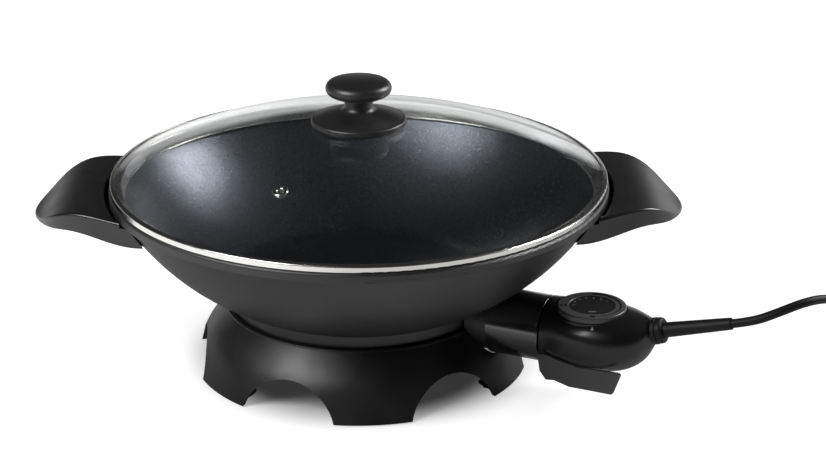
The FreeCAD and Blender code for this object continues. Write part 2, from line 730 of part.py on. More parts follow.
# ---------------------------------------------------------------- socket guard
def make_socket_guard():
    start, end, r = guard_start, guard_end, guard_radius
    guard = cylinder(r, vec(start, 0, axis_height), vec(end, 0, axis_height))
    guard = guard.makeFillet(1.4, [e for e in guard.Edges if abs(e.BoundBox.XMin - end) < 1e-6])
    cavity = cylinder(r - guard_wall, vec(start + guard_wall, 0, axis_height), vec(end + 1, 0, axis_height))
    holes = both_sides(cylinder(element_tube + 0.3, vec(start - 1, terminal_spread, axis_height),
                                vec(start + 5, terminal_spread, axis_height)))
    for radius, z in ((probe_radius + 0.8, axis_height), (terminal_radius + 0.3, axis_height - earth_drop)):
        holes.append(cylinder(radius, vec(start - 1, 0, z), vec(start + 5, 0, z)))
    holes += both_sides(cylinder(screw_radius + screw_clearance, guard_screw_seat() - X * 6, guard_screw_seat() + X))
    return to_probe(guard.cut([cavity] + holes)).cut(pan_envelope(handle_fit))


def guard_screw_seat():
    return vec(guard_start + guard_wall, guard_radius - guard_wall - 6.5, axis_height - 8.5)


def make_guard_screws():
    seat = guard_screw_seat()
    screw = pan_head_screw(ORIGIN, guard_wall + 6.0)
    screw.rotate(ORIGIN, Y, -90)
    screw.translate(seat)
    return Part.makeCompound([to_probe(s) for s in both_sides(screw)])


# ---------------------------------------------------------------- thermostat plug
# station, centre height, half width, height above and below the centre, top and side fullness
# of the body's cross sections, from the seam to the cord outlet
body_sections = [
    (guard_end + seam, 48.5, 24.1, 24.1, 24.1, 2.0, 2.0),
    (157.0, 48.4, 25.4, 23.6, 23.8, 2.3, 2.0),
    (166.0, 48.2, 28.2, 23.0, 23.2, 2.7, 2.1),
    (178.0, 48.2, 31.0, 22.6, 22.8, 3.0, 2.1),
    (190.0, 49.2, 31.4, 21.9, 22.0, 2.9, 2.1),
    (200.0, 49.7, 30.3, 21.3, 21.9, 2.6, 2.1),
    (208.0, 50.6, 27.8, 20.0, 21.3, 2.4, 2.1),
    (216.0, 52.0, 23.4, 17.8, 19.4, 2.2, 2.1),
    (222.0, 54.0, 18.4, 14.8, 16.9, 2.1, 2.0),
    (226.0, 56.4, 13.2, 11.9, 13.9, 2.0, 2.0),
    (outlet_place, 60.2, 8.8, 8.8, 8.6, 2.0, 2.0),
]


def body_wire(station, centre, half, up, down, top_power, side_power, inset=0.0, points=20):
    """Closed smooth cross section: a superellipse whose upper half may be squarer."""
    ring = []
    for i in range(points):
        turn = 2 * math.pi * i / points
        c, s = math.cos(turn), math.sin(turn)
        power, rise = (top_power, up) if s > 0 else (side_power, down)
        y = math.copysign(abs(c) ** (2 / power), c) * (half - inset)
        z = math.copysign(abs(s) ** (2 / power), s) * (rise - inset)
        ring.append(vec(station, y, centre + z))
    curve = Part.BSplineCurve()
    curve.interpolate(ring, PeriodicFlag=True)
    return Part.Wire(curve.toShape())


def body_form(inset=0.0):
    first, last = body_sections[0][0], body_sections[-1][0]
    shrink = 1 - 2 * inset / (last - first)
    wires = [body_wire(first + inset + (row[0] - first) * shrink, *row[1:], inset=inset)
             for row in body_sections]
    wires[-1].rotate(vec(last - inset, 0, outlet_height), Y, -outlet_rise)
    return Part.makeLoft(wires, True, False)


def outlet_point(distance):
    """A point on the axis of the cord outlet, a distance past the body's end."""
    rise = math.radians(outlet_rise)
    return vec(outlet_place + distance * math.cos(rise), 0, outlet_height + distance * math.sin(rise))


shell_screw_places = [(163.5, 18.5, 33.0), (204.0, 16.0, 37.5)]    # station, offset, seat height


def make_body_shells():
    outer, core, inner = body_form(), body_form(body_wall / 2), body_form(body_wall)
    far = outlet_place + 20
    above = block(guard_end, far, -40, 40, body_split, 90)
    below = block(guard_end, far, -40, 40, 0, body_split)
    shell = outer.cut(inner)
    plate = Part.makeCylinder(dial_radius + 0.9, 2.6, vec(dial_place, 0, dial_seat_height - 2.6))
    recess = Part.makeCylinder(dial_radius + 0.7, 20, vec(dial_place, 0, dial_seat_height))
    flank = lever_half - lever_thick - lever_gap
    side = Part.Face(section((guard_end - 1, relief_top[0]), (guard_end + 69, relief_top[1]),
                             (guard_end + 69, 0), (guard_end - 1, 0)))
    side.translate(Y * flank)
    relief = both_sides(side.extrude(Y * 20))
    side.translate(-Y * body_wall)
    backing = [half.common(core) for half in both_sides(side.extrude(Y * 20))]
    nose_hole = cylinder(nose_neck_radius + 0.1, vec(guard_end, 0, axis_height),
                         vec(guard_end + seam + body_wall + 1, 0, axis_height))
    outlet_hole = cylinder(6.6, outlet_point(-8), outlet_point(2))
    shaft_hole = Part.makeCylinder(dial_shaft_radius + running_gap, 20, vec(dial_place, 0, dial_seat_height - 6))
    upper_posts, lower_posts, upper_cuts, lower_cuts = [], [], [], []
    for x, y, seat in shell_screw_places:
        post = Part.makeCylinder(boss_radius - 1.5, 40, vec(x, y, body_split - 20)).common(core)
        upper_posts += both_sides(post.common(above))
        lower_posts += both_sides(post.common(below))
        upper_cuts += both_sides(Part.makeCylinder(screw_radius - 0.3, 12, vec(x, y, body_split - 1)))
        lower_cuts += both_sides(Part.makeCylinder(screw_radius, 40, vec(x, y, body_split - 20)))
        lower_cuts += both_sides(Part.makeCylinder(screw_head_radius - 0.9, 20, vec(x, y, seat - 20)))
    pin_hole = both_sides(cylinder(lever_pin_radius, vec(lever_pivot[0], 12, lever_pivot[1]),
                                   vec(lever_pivot[0], 40, lever_pivot[1])))
    pin_boss = both_sides(cylinder(lever_pin_radius + 2.0, vec(lever_pivot[0], lever_boss_start, lever_pivot[1]),
                                   vec(lever_pivot[0], flank, lever_pivot[1])).common(core))
    upper = joined([shell.common(above).cut(recess), plate] + upper_posts)
    upper = upper.cut([nose_hole, outlet_hole, shaft_hole] + upper_cuts)
    lower = joined([shell.common(below)] + backing + lower_posts + pin_boss)
    lower = lower.cut([nose_hole, outlet_hole] + lower_cuts + pin_hole + relief)
    return to_probe(upper), to_probe(lower)


def make_shell_screws():
    screws = []
    for x, y, seat in shell_screw_places:
        head = Part.makeCylinder(screw_head_radius - 1.2, 2.0, vec(x, y, seat - 2.0))
        shank = Part.makeCylinder(screw_radius - 0.3, body_split + 8 - seat, vec(x, y, seat))
        screws += both_sides(joined([head, shank]))
    return Part.makeCompound([to_probe(s) for s in screws])


def make_contact_block():
    """Plug nose that carries the three contacts and the probe."""
    back = guard_end + seam + body_wall
    nose = cylinder(nose_radius, vec(nose_start, 0, axis_height), vec(guard_end - 0.4, 0, axis_height))
    nose = nose.makeFillet(2.0, [e for e in nose.Edges if abs(e.BoundBox.XMax - nose_start) < 1e-6])
    neck = cylinder(nose_neck_radius, vec(guard_end - 1, 0, axis_height), vec(back + 3.2, 0, axis_height))
    flange = cylinder(nose_neck_radius + 1.6, vec(back + 0.2, 0, axis_height), vec(back + 3.2, 0, axis_height))
    holes = [cylinder(probe_radius + 0.05, vec(nose_start - 1, 0, axis_height), vec(back + 5, 0, axis_height))]
    sleeve = terminal_radius + running_gap + sleeve_wall
    for y, z in contact_places():
        holes.append(cylinder(sleeve + 0.05, vec(nose_start - 1, y, z), vec(back + 5, y, z)))
    return to_probe(joined([nose, neck, flange]).cut(holes))


def contact_places():
    return [(terminal_spread, axis_height), (-terminal_spread, axis_height), (0, axis_height - earth_drop)]


def make_contact_sleeves():
    inner = terminal_radius + running_gap
    sleeves = []
    for y, z in contact_places():
        a, b = vec(nose_start + 1.5, y, z), vec(guard_end + 8, y, z)
        sleeves.append(cylinder(inner + sleeve_wall, a, b).cut(cylinder(inner, a - X, vec(guard_end, y, z))))
    return Part.makeCompound([to_probe(s) for s in sleeves])


def make_probe_rod():
    rod = cylinder(probe_radius, vec(probe_tip, 0, axis_height), vec(switch_place[0] - 0.1, 0, axis_height))
    tip = [e for e in rod.Edges if abs(e.BoundBox.XMax - probe_tip) < 1e-6]
    return to_probe(rod.makeFillet(probe_radius * 0.8, tip))


switch_place = (170.0, 194.0)   # stations of the switch inside the plug body
switch_half = 11.0
switch_top = 58.0


def make_switch_block():
    a, b = switch_place
    base = block(a, b, -switch_half, switch_half, axis_height - 7, axis_height + 3)
    post = Part.makeCylinder(5.0, switch_top - axis_height - 3, vec(dial_place, 0, axis_height + 3))
    slot = block(a + 3, b - 3, -switch_half + 3, -switch_half + 5.2, axis_height - 2, axis_height + 4)
    return to_probe(joined([base, post]).cut(slot))


def make_bimetal_strip():
    a, b = switch_place
    return to_probe(block(a + 3.2, b - 3.2, -switch_half + 3.2, -switch_half + 5.0,
                          axis_height - 1.9, axis_height + 8))


def make_switch_bracket():
    """Steel strap that hangs the switch under the dial plate."""
    a, b = switch_place
    low, high = axis_height + 3.0, dial_seat_height - 2.6
    leg = block(b - 4.0, b - 2.8, -6, 6, low, high)
    foot = block(b - 6.6, b - 2.8, -6, 6, low, low + 1.2)
    top = block(b - 4.0, b + 6.0, -6, 6, high - 1.2, high)
    return to_probe(joined([leg, foot, top]))


# ---------------------------------------------------------------- dial
def make_dial_ring():
    r, low, high = dial_radius, dial_seat_height + dial_gap, dial_seat_height + dial_height
    hub, disc = dial_shaft_radius + 2.4, dial_disc_radius + 0.1
    ring = turned(section(
        (dial_shaft_radius, low), (hub, low), (hub, low + 1.4), (r - 1.6, low + 1.4), (r - 1.6, low), (r, low),
        (r, high - 1.2), ((r - 0.35, high - 0.35), (r - 1.2, high)), (disc + 0.5, high),
        (disc, high - 0.5), (disc, high - dial_disc_thick - 0.3), (dial_shaft_radius, high - dial_disc_thick - 0.3)))
    ring.translate(vec(dial_place, 0, 0))
    return to_probe(ring)


def make_dial_disc():
    top = dial_seat_height + dial_height - 0.25
    disc = Part.makeCylinder(dial_disc_radius, dial_disc_thick, vec(dial_place, 0, top - dial_disc_thick))
    return to_probe(disc)


def make_dial_shaft():
    top = dial_seat_height + dial_height - dial_disc_thick - 0.35
    shaft = Part.makeCylinder(dial_shaft_radius, top - switch_top - 0.3, vec(dial_place, 0, switch_top + 0.3))
    return to_probe(shaft)


# ---------------------------------------------------------------- release lever
def make_release_lever():
    """Lever under the plug body: a long thumb cheek and a short far cheek on pins, joined by a web."""
    low, half = lever_bottom, lever_half
    toe = [(164.8, 21.9, 1.5), (158.7, 21.2, 1.5), (153.9, 27.2, 1.5), (151.8, 39.6, 1.2),
           (158.2, 40.3, 4.0), (167.7, 37.8, 8.0)]
    thumb = toe + [(182.0, 34.9, 12.0), (214.8, 36.1, 1.8), (208.8, low, 2.2), (176.2, low, 6.0)]
    short = toe + [(178.0, 35.0, 4.0), (186.0, 30.0, 3.0), (187.0, low, 2.0), (176.2, low, 6.0)]
    near, far = [Part.Face(rounded_wire(corners, lambda x, z: vec(x, -half, z))).extrude(Y * lever_thick)
                 for corners in (thumb, short)]
    blind = half - lever_skin
    hole = cylinder(lever_pin_radius + running_gap, vec(lever_pivot[0], -blind, lever_pivot[1]),
                    vec(lever_pivot[0], blind, lever_pivot[1]))
    web = block(176.0, 186.0, -half + 1, half - 1, low, low + lever_thick)
    return to_probe(joined([near, far.mirror(ORIGIN, Y), web]).cut(hole))


def make_lever_pins():
    x, z = lever_pivot
    end = lever_half - lever_skin - running_gap
    pin = cylinder(lever_pin_radius, vec(x, lever_boss_start, z), vec(x, end, z))
    return Part.makeCompound([to_probe(p) for p in both_sides(pin)])


# ---------------------------------------------------------------- cord outlet and cord
def make_cord_collar():
    """Ribbed collar that plugs into the end of the body."""
    r, end = collar_radius, collar_length
    collar = turned_corners((0, -6.0, 0), (6.4, -6.0, 0), (6.4, 0.2, 0), (r, 0.2, 0.8), (r, 3.4, 0.5),
                            (r - 0.9, 3.4, 0), (r - 0.9, 4.4, 0), (r - 0.2, 4.4, 0.5), (r - 0.6, end, 2.2),
                            (0, end, 0))
    collar.rotate(ORIGIN, Y, 90 - outlet_rise)
    collar.translate(outlet_point(0))
    return to_probe(collar)


def make_strain_relief():
    return to_probe(cone(relief_root_radius, relief_end_radius, outlet_point(collar_length),
                         outlet_point(collar_length + relief_length)))


coil_side = coil_mean_radius + 3 * cord_radius + 0.1    # a cord that lies against the coil


def cord_route():
    """Corners of the free cord: out of the sleeve, in an arch down to the table, to the coil."""
    exit_point = spun(Part.Vertex(outlet_point(collar_length + relief_length)), probe_angle).Point
    rise = math.radians(outlet_rise)
    ahead = polar(math.cos(rise), probe_angle, math.sin(rise))
    cx, cy = coil_centre
    r = cord_radius
    return [exit_point, exit_point + ahead * 16.0,
            vec(286.0, -133.5, 88.4), vec(302.5, -129.5, 93.4), vec(318.5, -119.0, 92.2),
            vec(333.0, -104.5, 84.6), vec(346.0, -87.5, 71.5), vec(357.5, -70.5, 55.0),
            vec(368.0, -55.0, 38.0), vec(379.5, -41.5, 22.0), vec(393.0, -31.0, 9.6),
            vec(407.5, cy - coil_side - 1.0, r + 0.5), vec(cx + 12.0, cy - coil_side, r + 0.1)]


def tail_route():
    """Corners of the end of the cord, from the coil to the mains plug."""
    cx, cy = coil_centre
    low = cord_radius + 0.1
    end = plug_axis_point(plug_length)
    return [vec(cx + coil_side, cy - 10.0, low), vec(cx + coil_side, cy + 14.0, low),
            vec(end.x, end.y - 15.0, low), end]


def rounded_route(points):
    """Straight runs joined by tangent arcs, each as large as its two runs allow."""
    edges, here = [], points[0]
    for i in range(1, len(points) - 1):
        before, after = points[i - 1] - points[i], points[i + 1] - points[i]
        u, v = vec(before).normalize(), vec(after).normalize()
        turn = math.pi - u.getAngle(v)
        reach = 0.45 * min(before.Length, after.Length)
        radius = reach / math.tan(turn / 2)
        print("cord point %d: turn %.0f degrees, radius %.0f" % (i, math.degrees(turn), radius))
        middle = vec(u + v).normalize() * (radius / math.cos(turn / 2) - radius)
        first, last = points[i] + u * reach, points[i] + v * reach
        edges.append(Part.makeLine(here, first))
        edges.append(Part.Arc(first, points[i] + middle, last).toShape())
        here = last
    edges.append(Part.makeLine(here, points[-1]))
    return Part.Wire(edges)


def cord_solid(points):
    path = rounded_route(points)
    ring = Part.Wire(Part.makeCircle(cord_radius, points[0], points[1] - points[0]))
    solid = path.makePipeShell([ring], True, True)
    print("cord length %.1f, volume over section times length %.4f"
          % (path.Length, solid.Volume / (math.pi * cord_radius ** 2 * path.Length)))
    return solid


def make_cord_coil():
    """Outer form of four turns, two beside each other and two high."""
    inner, outer = coil_mean_radius - 2 * cord_radius, coil_mean_radius + 2 * cord_radius
    coil = turned_corners((inner, 0.1, 3.0), (outer, 0.1, 3.0), (outer, 4 * cord_radius, 3.0),
                          (inner, 4 * cord_radius, 3.0))
    coil.translate(vec(coil_centre[0], coil_centre[1], 0))
    return coil


# the mains plug lies on its side: the shoulder behind its face touches the table, and the cord
plug_tilt = math.degrees(math.asin((plug_face_radius - plug_neck_radius) / plug_length))
plug_place = (coil_centre[0] + 40.0, coil_centre[1] + 106.0)


def plug_axis_point(back):
    """A point on the plug's axis, a distance behind its face; the pins point to +Y."""
    tilt = math.radians(plug_tilt)
    top = plug_face_radius * math.cos(tilt) + plug_shoulder * math.sin(tilt) + 0.1
    return vec(plug_place[0], plug_place[1] - back * math.cos(tilt), top - back * math.sin(tilt))


def from_plug_frame(shape):
    """Turn a shape built with the plug's face at z = 0 and its pins to +Z into place."""
    copy = shape.copy()
    copy.rotate(ORIGIN, X, -90 + plug_tilt)
    copy.translate(plug_axis_point(0))
    return copy


def make_plug_body():
    r, n, length = plug_face_radius, plug_neck_radius, plug_length
    body = turned_corners((0, 0, 0), (r, 0, 1.5), (r, -plug_shoulder, 2.5), (n + 5.0, -length + 17.0, 6.0),
                          (n, -length + 5.0, 3.0), (n - 1.2, -length, 0), (0, -length, 0))
    recess = block(-3.4, 3.4, r - 1.3, r + 2, -plug_shoulder - 0.5, 1.0)
    return from_plug_frame(body.cut(both_sides(recess) + plug_pins()))


def plug_pins():
    root = vec(pin_spread / 2, 0, 0)
    pin = Part.makeCylinder(pin_radius, pin_length, root)
    pin = pin.makeFillet(1.6, [e for e in pin.Edges if abs(e.BoundBox.ZMin - pin_length) < 1e-6])
    pin = joined([pin, Part.makeCylinder(pin_radius - 0.5, 6.2, root - Z * 6)])
    return [pin, pin.mirror(ORIGIN, X)]


def make_plug_pins():
    return Part.makeCompound([from_plug_frame(p) for p in plug_pins()])


def make_earth_clips():
    clip = block(-2.6, 2.6, plug_face_radius - 1.25, plug_face_radius - 0.45, -plug_shoulder, -0.2)
    return Part.makeCompound([from_plug_frame(c) for c in both_sides(clip)])


# ---------------------------------------------------------------- export
def main():
    upper, lower = make_body_shells()
    handle = make_handle()
    nodes = {
        "base_skirt": make_base_skirt(),
        "rubber_feet": make_rubber_feet(),
        "base_screws": make_base_screws(),
        "pan_bowl": make_pan_bowl(),
        "heating_element": to_probe(element_solid(element_tube)),
        "terminal_pins": make_terminal_pins(),
        "earth_pin": make_earth_pin(),
        "socket_guard": make_socket_guard(),
        "guard_screws": make_guard_screws(),
        "right_handle": handle,
        "left_handle": handle.mirror(ORIGIN, X),
        "handle_screws": make_handle_screws(),
        "lid_glass": make_lid_glass(),
        "lid_rim": make_lid_rim(),
        "vent_eyelet": make_vent_eyelet(),
        "knob_gasket": make_knob_gasket(),
        "knob_base": make_knob_base(),
        "knob_cap": make_knob_cap(),
        "knob_screw": make_knob_screw(),
        "knob_washer": make_knob_washer(),
        "plug_upper_shell": upper,
        "plug_lower_shell": lower,
        "shell_screws": make_shell_screws(),
        "contact_block": make_contact_block(),
        "contact_sleeves": make_contact_sleeves(),
        "probe_rod": make_probe_rod(),
        "switch_block": make_switch_block(),
        "bimetal_strip": make_bimetal_strip(),
        "switch_bracket": make_switch_bracket(),
        "dial_ring": make_dial_ring(),
        "dial_disc": make_dial_disc(),
        "dial_shaft": make_dial_shaft(),
        "release_lever": make_release_lever(),
        "lever_pins": make_lever_pins(),
        "cord_collar": make_cord_collar(),
        "strain_relief": make_strain_relief(),
        "cord_tube": cord_solid(cord_route()),
        "cord_coil": make_cord_coil(),
        "cord_tail": cord_solid(tail_route()).cut(make_plug_body()),
        "mains_plug": make_plug_body(),
        "mains_pins": make_plug_pins(),
        "earth_clips": make_earth_clips(),
    }
    os.makedirs("parts", exist_ok=True)
    for name, shape in nodes.items():
        solids = shape.Solids
        if not solids or not all(s.isValid() for s in solids):
            print("CHECK", name, len(solids), shape.isValid())
        if len(solids) == 1:
            shape = solids[0]
        shape.exportStep(os.path.join("parts", name + ".step"))
        print("%-18s solids %d  volume %.0f" % (name, len(solids), shape.Volume))


main()
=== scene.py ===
# %% [markdown]
# # An electric wok with a glass lid
#
# The construction comes from the imported CAD model: every rigid piece at its real size, on the body
# that it moves with. This script gives those pieces their finishes, prints the marks on the dial,
# lays the mains cord, and lights it all like a product on a white table.
#
# They are never moved, so every number below is a place in the same frame: metres, +Z up, the origin
# on the table under the middle of the pan.

# %% Load the frame
import bpy
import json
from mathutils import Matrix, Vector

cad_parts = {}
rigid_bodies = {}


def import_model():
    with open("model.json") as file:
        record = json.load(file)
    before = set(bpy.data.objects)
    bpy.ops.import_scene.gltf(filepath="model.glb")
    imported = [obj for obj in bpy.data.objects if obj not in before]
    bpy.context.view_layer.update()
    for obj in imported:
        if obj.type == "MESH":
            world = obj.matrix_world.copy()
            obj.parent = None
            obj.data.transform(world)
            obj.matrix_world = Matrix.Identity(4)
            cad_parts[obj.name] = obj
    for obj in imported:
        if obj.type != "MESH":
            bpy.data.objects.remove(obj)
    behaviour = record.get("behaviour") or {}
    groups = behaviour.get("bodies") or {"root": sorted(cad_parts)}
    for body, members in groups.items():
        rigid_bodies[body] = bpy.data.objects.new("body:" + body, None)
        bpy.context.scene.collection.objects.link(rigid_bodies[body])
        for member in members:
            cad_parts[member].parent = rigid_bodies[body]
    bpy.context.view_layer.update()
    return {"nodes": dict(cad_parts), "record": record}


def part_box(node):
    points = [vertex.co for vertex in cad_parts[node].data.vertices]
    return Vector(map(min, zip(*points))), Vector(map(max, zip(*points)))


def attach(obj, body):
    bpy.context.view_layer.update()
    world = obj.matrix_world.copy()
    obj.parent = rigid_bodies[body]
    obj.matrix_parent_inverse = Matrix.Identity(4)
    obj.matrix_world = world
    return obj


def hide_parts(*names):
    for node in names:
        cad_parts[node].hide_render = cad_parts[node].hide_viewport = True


for thing in list(bpy.data.objects):
    bpy.data.objects.remove(thing)
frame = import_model()

# %% Modules and units
import json
import math

import bmesh
import numpy as np
from mathutils import Matrix, Vector
from mathutils.bvhtree import BVHTree

MM = 0.001
nodes = frame["nodes"]
print(len(nodes), "pieces from CAD")

# %% [markdown]
# ## The camera
#
# A product camera stands well back with a long lens, so that round things keep their shape. Here it
# is 1.7 m away and looks 21.5 degrees down. It could follow a target with a constraint, but its place
# and angles as plain values say the same and stay put.

# %% Camera
def add_object(name, data):
    """A new object in the scene that shows some data, at the origin."""
    thing = bpy.data.objects.new(name, data)
    bpy.context.scene.collection.objects.link(thing)
    return thing


camera_data = bpy.data.cameras.new("camera")
camera_data.sensor_width = 36.0
camera_data.lens = 101.07
camera = add_object("camera", camera_data)
camera.location = (0.0, -1.58263, 0.71808)
camera.rotation_euler = (math.radians(68.458), 0.0, math.radians(-1.4107))
bpy.context.scene.camera = camera
print("camera", round(camera.location.length, 2), "m away, lens", round(camera_data.lens), "mm")

# %% [markdown]
# ## The mains cord
#
# A cord is one length of something flexible, so it is one curve: out of its sleeve, up in the shallow
# arch that a new cord keeps from its packing, down to the table, four turns round a coil that is put
# away beside the wok, and on to the plug. Straight tubes with arcs between them would do for its
# weight, but they look like bent wire. A NURBS spline of order 3 through a short list of control
# points bends everywhere a little and nowhere sharply, as a sheath full of copper does.

# %% Where the cord leaves the thermostat
CORD_RADIUS = 3.2 * MM
PROBE_ANGLE = math.radians(-26.0)
OUTLET = Vector((228.4, 0.0, 60.6)) * MM
OUTLET_RISE = math.radians(15.8)
SLEEVE_END = 58.0 * MM
probe_turn = Matrix.Rotation(PROBE_ANGLE, 3, "Z")
cord_ahead = probe_turn @ Vector((math.cos(OUTLET_RISE), 0.0, math.sin(OUTLET_RISE)))
cord_exit = probe_turn @ OUTLET + cord_ahead * SLEEVE_END
print("the cord leaves its sleeve at", [round(v, 4) for v in cord_exit])

# %% The free stretch down to the table
COIL_CENTRE = Vector((412.0, 22.0, 0.0)) * MM
COIL_RADIUS = 36.0 * MM
CLEAR = 0.1 * MM
ON_TABLE = CORD_RADIUS + CLEAR
BESIDE_COIL = COIL_RADIUS + 3 * CORD_RADIUS + CLEAR
LEAD_OUT = 16 * MM
TOUCH_DOWN = Vector((-4.5 * MM, -BESIDE_COIL - 1 * MM, CORD_RADIUS + 0.5 * MM))
ARCH = [(286.0, -133.5, 88.4), (302.5, -129.5, 93.4), (318.5, -119.0, 92.2), (333.0, -104.5, 84.6),
        (346.0, -87.5, 71.5), (357.5, -70.5, 55.0), (368.0, -55.0, 38.0), (379.5, -41.5, 22.0),
        (393.0, -31.0, 9.6)]
free = [cord_exit, cord_exit + cord_ahead * LEAD_OUT]
free += [Vector(point) * MM for point in ARCH]
free.append(COIL_CENTRE + TOUCH_DOWN)
print("free stretch:", len(free), "points, up to", round(max(point.z for point in free), 3), "m high")

# %% [markdown]
# The coil is a loop of points whose radius and height are read off a small table of angles: round on
# the table, in to the inner place, up onto the second layer, out to its outer place, and last over
# the incoming cord and down beside the coil. Each change of place starts a little before the change
# of the turn under it, so that no two turns meet while they swap places.
#
# A spline of this order cuts inside its control points. In the middle of each stretch it weighs three
# of them with 1, 6 and 1 eighths, which on a circle gives (3 + the cosine of one step) / 4 of their
# radius. The control points stand out by the inverse of that, so that the turns come out true.

# %% The coil
OUTER = COIL_RADIUS + CORD_RADIUS
INNER = COIL_RADIUS - CORD_RADIUS
ON_FIRST_LAYER = ON_TABLE + 2 * CORD_RADIUS
POINTS_A_TURN = 16
# angle in degrees, radius, height
COIL_PLAN = np.array([
    (-66, OUTER + 2 * CORD_RADIUS, ON_TABLE), (-20, OUTER, ON_TABLE), (292, OUTER, ON_TABLE),
    (330, INNER, ON_TABLE), (618, INNER, ON_TABLE), (655, INNER, ON_FIRST_LAYER),
    (945, INNER, ON_FIRST_LAYER), (982, OUTER, ON_FIRST_LAYER), (1268, OUTER, ON_FIRST_LAYER),
    (1306, BESIDE_COIL, ON_FIRST_LAYER), (1415, BESIDE_COIL, ON_FIRST_LAYER), (1446, BESIDE_COIL, ON_TABLE)])
coil_angle = np.arange(-66, 1440, 360 / POINTS_A_TURN)
coil_radius = np.interp(coil_angle, COIL_PLAN[:, 0], COIL_PLAN[:, 1])
coil_height = np.interp(coil_angle, COIL_PLAN[:, 0], COIL_PLAN[:, 2])
coil_radius = coil_radius / ((3 + math.cos(2 * math.pi / POINTS_A_TURN)) / 4)
turn = np.radians(coil_angle)
coil_points = np.stack([COIL_CENTRE.x + coil_radius * np.cos(turn),
                        COIL_CENTRE.y + coil_radius * np.sin(turn), coil_height], axis=-1)
print("coil:", round(len(coil_points) / POINTS_A_TURN, 1), "turns,", round(2 * COIL_RADIUS / MM), "mm across")

# %% [markdown]
# The plug lies on its widest edge and on its neck, so it tilts: the sine of the tilt is the difference
# of those two radii over the plug's length. The cord leaves the coil along the table, and its last
# control points lead it up that slope into the neck.

# %% The tail into the plug
PLUG_FACE_RADIUS = 18.6 * MM
PLUG_NECK_RADIUS = 6.0 * MM
PLUG_LENGTH = 36.0 * MM
PLUG_SHOULDER = 9.0 * MM
PLUG_PLACE = Vector((40.0, 106.0, 0.0)) * MM
LEAVES_COIL = Vector((BESIDE_COIL, 14 * MM, ON_TABLE))
LEAD_IN = 15 * MM
plug_tilt = math.asin((PLUG_FACE_RADIUS - PLUG_NECK_RADIUS) / PLUG_LENGTH)
plug_axis = Vector((0.0, math.cos(plug_tilt), math.sin(plug_tilt)))
plug_height = PLUG_FACE_RADIUS * math.cos(plug_tilt) + PLUG_SHOULDER * math.sin(plug_tilt) + CLEAR
plug_face = COIL_CENTRE + PLUG_PLACE + Vector((0.0, 0.0, plug_height))
cord_end = plug_face - plug_axis * PLUG_LENGTH
tail = [COIL_CENTRE + LEAVES_COIL, Vector((cord_end.x, cord_end.y - LEAD_IN, ON_TABLE)), cord_end]
print("the plug tilts", round(math.degrees(plug_tilt), 1), "degrees")

# %% The curve itself
cord_points = np.array([*map(tuple, free), *map(tuple, coil_points), *map(tuple, tail)])
curve = bpy.data.curves.new("mains_cord", "CURVE")
curve.dimensions = "3D"
curve.bevel_depth = 1.0
curve.bevel_resolution = 5
curve.resolution_u = 8
spline = curve.splines.new("NURBS")
spline.points.add(len(cord_points) - 1)
spline.points.foreach_set("co", np.column_stack([cord_points, np.ones(len(cord_points))]).ravel())
spline.points.foreach_set("radius", [CORD_RADIUS] * len(cord_points))
spline.order_u = 3
spline.use_endpoint_u = True
mains_cord = add_object("mains_cord", curve)
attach(mains_cord, "thermostat")
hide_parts("cord_tube", "cord_coil", "cord_tail")
print("cord:", len(cord_points), "control points,", round(spline.calc_length(), 2), "m of cord")

# %% [markdown]
# ## The table
#
# The wok stands on a seamless white sheet. A plain flat face is enough, because its far edge is the
# same white as the world behind it. Its near edge is cut off close in front of the wok, a little
# further out on the left: past it there is only the dark room, which the lid's steel rim and the wall
# of the pan need as something dark to reflect.

# %% The table top
TABLE_CORNERS = [(-6.0, -3.6, 0), (-0.3, -0.75, 0), (6.0, -0.75, 0), (6.0, 8.0, 0), (-6.0, 8.0, 0)]
floor_mesh = bpy.data.meshes.new("floor")
floor_mesh.from_pydata(TABLE_CORNERS, [], [range(len(TABLE_CORNERS))])
floor = add_object("floor", floor_mesh)
print("table top with", len(TABLE_CORNERS), "corners")

# %% [markdown]
# ## Finishes
#
# A moulded or cast surface is never one colour: it has a fine texture from its mould, larger soft
# patches where it cooled or was handled, and so a roughness that wanders. Image textures would need
# unwrapped meshes. Noise in object coordinates needs none, and has its real grain in millimetres
# wherever the piece turns. What is the same all over stays a plain value on the shader.

# %% What every finish starts from
COAT_ROUGHNESS = 0.15


def bare_surface(name, metallic, shine, coat=0.0):
    """A new material and its shader; shine is how much it mirrors, where 0.5 is plain plastic."""
    material = bpy.data.materials.new(name)
    material.use_nodes = True
    shader = material.node_tree.nodes["Principled BSDF"]
    shader.inputs["Metallic"].default_value = metallic
    shader.inputs["Specular IOR Level"].default_value = shine
    shader.inputs["Coat Weight"].default_value = coat
    shader.inputs["Coat Roughness"].default_value = COAT_ROUGHNESS
    return material, material.node_tree, shader


white_sweep = bare_surface("white_sweep", metallic=0.0, shine=0.1)[0]
floor.data.materials.append(white_sweep)
print("the table's shader has", len(white_sweep.node_tree.nodes["Principled BSDF"].inputs), "sockets")

# %% Noise, spans and relief
FINE_DETAIL = 2.0
SOFT_DETAIL = 3.0


def noise(tree, size, detail):
    """Smooth noise between 0 and 1 in object coordinates. Size is its grain in millimetres, so its
    scale is one over that size in metres."""
    texture = tree.nodes.new("ShaderNodeTexNoise")
    texture.inputs["Scale"].default_value = 1 / (size * MM)
    texture.inputs["Detail"].default_value = detail
    place = tree.nodes.new("ShaderNodeTexCoord")
    tree.links.new(place.outputs["Object"], texture.inputs["Vector"])
    return texture.outputs["Fac"]


